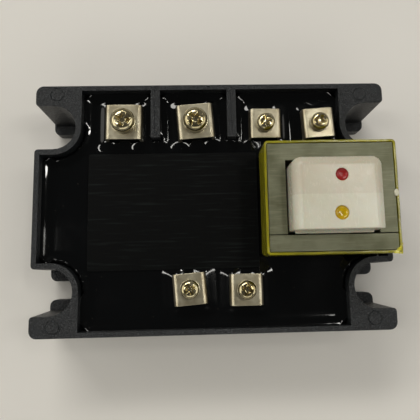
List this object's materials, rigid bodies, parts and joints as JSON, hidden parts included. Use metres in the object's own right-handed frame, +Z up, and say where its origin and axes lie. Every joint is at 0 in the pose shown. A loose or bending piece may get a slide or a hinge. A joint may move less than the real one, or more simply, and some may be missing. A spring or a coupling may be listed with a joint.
{
  "type": "solid state relay",
  "caption": "Open potted solid state relay: black plastic case with open-ended mounting slots, screw terminals along both long sides and a capped transformer standing above glossy resin.",
  "frame": {"origin": "centre of the underside of the metal base plate, the face that stands on the heatsink", "axes": "+X along the case towards the transformer; +Y towards the side with the most terminals; +Z up, out of the open case"},
  "size_m": [0.105, 0.0734, 0.0552],
  "materials": {
    "case_plastic": "fine-textured black moulded thermoplastic",
    "bare_aluminium": "milled flat, bare",
    "nickel_plate": "bright nickel over brass strip",
    "spring_steel": "plated spring steel",
    "screw_steel": "nickel-plated steel",
    "silicon_steel": "grey varnished laminations",
    "yellow_tape": "translucent yellow polyester film",
    "white_nylon": "natural moulded nylon",
    "ivory_nylon": "smooth ivory moulding, satin",
    "red_resin": "dull red resin",
    "yellow_resin": "glossy yellow resin",
    "enamelled_copper": "enamelled copper wire",
    "tinned_copper": "tinned",
    "green_laminate": "glass-epoxy laminate",
    "alumina": "sintered white ceramic",
    "bare_copper": "bare rolled copper",
    "thyristor_silicon": "passivated silicon",
    "chip_plastic": "moulded epoxy",
    "capacitor_sleeve": "shrink sleeve",
    "film_capacitor_case": "dipped epoxy",
    "varistor_coating": "dipped epoxy",
    "resistor_coating": "cement coating",
    "film_resistor_coating": "lacquer",
    "silicone_gel": "clear soft gel",
    "black_epoxy": "glossy cast epoxy",
    "label_card": "matt black card"
  },
  "bodies": {
    "relay_body": {"base_plate": "bare_aluminium", "bleed_resistor": "film_resistor_coating", "bobbin": "white_nylon", "bobbin_cover": "ivory_nylon", "bridge_rectifier": "chip_plastic", "ceramic_substrate": "alumina", "circuit_board": "green_laminate", "control_chip": "chip_plastic", "copper_pad_line": "bare_copper", "copper_pad_load": "bare_copper", "core_tape": "yellow_tape", "filter_capacitor": "capacitor_sleeve", "housing": "case_plastic", "label_plate": "label_card", "logic_driver": "chip_plastic", "optocoupler": "chip_plastic", "potting_resin": "black_epoxy", "primary_winding": "enamelled_copper", "red_marker": "red_resin", "secondary_winding": "enamelled_copper", "sense_resistor": "film_resistor_coating", "silicone_gel": "silicone_gel", "snubber_capacitor": "film_capacitor_case", "snubber_resistor": "resistor_coating", "terminal_bracket_1": "nickel_plate", "terminal_bracket_2": "nickel_plate", "terminal_bracket_3": "nickel_plate", "terminal_bracket_4": "nickel_plate", "terminal_bracket_5": "nickel_plate", "terminal_bracket_6": "nickel_plate", "thyristor_chip_1": "thyristor_silicon", "thyristor_chip_2": "thyristor_silicon", "thyristor_clip_1": "bare_copper", "thyristor_clip_2": "bare_copper", "transformer_core_e": "silicon_steel", "transformer_core_i": "silicon_steel", "transformer_pin_1": "tinned_copper", "transformer_pin_2": "tinned_copper", "transformer_pin_3": "tinned_copper", "transformer_pin_4": "tinned_copper", "varistor": "varistor_coating", "yellow_marker": "yellow_resin"},
    "washer_1": {"spring_washer_1": "spring_steel"},
    "screw_1": {"terminal_screw_1": "screw_steel"},
    "washer_2": {"spring_washer_2": "spring_steel"},
    "screw_2": {"terminal_screw_2": "screw_steel"},
    "washer_3": {"spring_washer_3": "spring_steel"},
    "screw_3": {"terminal_screw_3": "screw_steel"},
    "washer_4": {"spring_washer_4": "spring_steel"},
    "screw_4": {"terminal_screw_4": "screw_steel"},
    "washer_5": {"spring_washer_5": "spring_steel"},
    "screw_5": {"terminal_screw_5": "screw_steel"},
    "washer_6": {"spring_washer_6": "spring_steel"},
    "screw_6": {"terminal_screw_6": "screw_steel"}
  },
  "joints": [
    {"name": "screw_1_lift", "type": "slide", "parent": "relay_body", "child": "washer_1", "axis": [0, 0, 1], "range_m": [0, 0.004]},
    {"name": "screw_1_turn", "type": "hinge", "parent": "washer_1", "child": "screw_1", "pos_m": [-0.0264, 0.0254, 0.0323], "axis": [0, 0, 1], "range_deg": [0, 2058]},
    {"name": "screw_2_lift", "type": "slide", "parent": "relay_body", "child": "washer_2", "axis": [0, 0, 1], "range_m": [0, 0.004]},
    {"name": "screw_2_turn", "type": "hinge", "parent": "washer_2", "child": "screw_2", "pos_m": [-0.0049, 0.0254, 0.0323], "axis": [0, 0, 1], "range_deg": [0, 2058]},
    {"name": "screw_3_lift", "type": "slide", "parent": "relay_body", "child": "washer_3", "axis": [0, 0, 1], "range_m": [0, 0.0035]},
    {"name": "screw_3_turn", "type": "hinge", "parent": "washer_3", "child": "screw_3", "pos_m": [0.0162, 0.0245, 0.0321], "axis": [0, 0, 1], "range_deg": [0, 2521]},
    {"name": "screw_4_lift", "type": "slide", "parent": "relay_body", "child": "washer_4", "axis": [0, 0, 1], "range_m": [0, 0.0035]},
    {"name": "screw_4_turn", "type": "hinge", "parent": "washer_4", "child": "screw_4", "pos_m": [0.0325, 0.0245, 0.0321], "axis": [0, 0, 1], "range_deg": [0, 2521]},
    {"name": "screw_5_lift", "type": "slide", "parent": "relay_body", "child": "washer_5", "axis": [0, 0, 1], "range_m": [0, 0.0035]},
    {"name": "screw_5_turn", "type": "hinge", "parent": "washer_5", "child": "screw_5", "pos_m": [-0.0071, -0.024, 0.0321], "axis": [0, 0, 1], "range_deg": [0, 2521]},
    {"name": "screw_6_lift", "type": "slide", "parent": "relay_body", "child": "washer_6", "axis": [0, 0, 1], "range_m": [0, 0.0035]},
    {"name": "screw_6_turn", "type": "hinge", "parent": "washer_6", "child": "screw_6", "pos_m": [0.0092, -0.0245, 0.0321], "axis": [0, 0, 1], "range_deg": [0, 2521]}
  ],
  "couplings": [
    {"joint": "screw_1_turn", "follows": "screw_1_lift", "rad_per_m": 8976},
    {"joint": "screw_2_turn", "follows": "screw_2_lift", "rad_per_m": 8976},
    {"joint": "screw_3_turn", "follows": "screw_3_lift", "rad_per_m": 12566},
    {"joint": "screw_4_turn", "follows": "screw_4_lift", "rad_per_m": 12566},
    {"joint": "screw_5_turn", "follows": "screw_5_lift", "rad_per_m": 12566},
    {"joint": "screw_6_turn", "follows": "screw_6_lift", "rad_per_m": 12566}
  ]
}
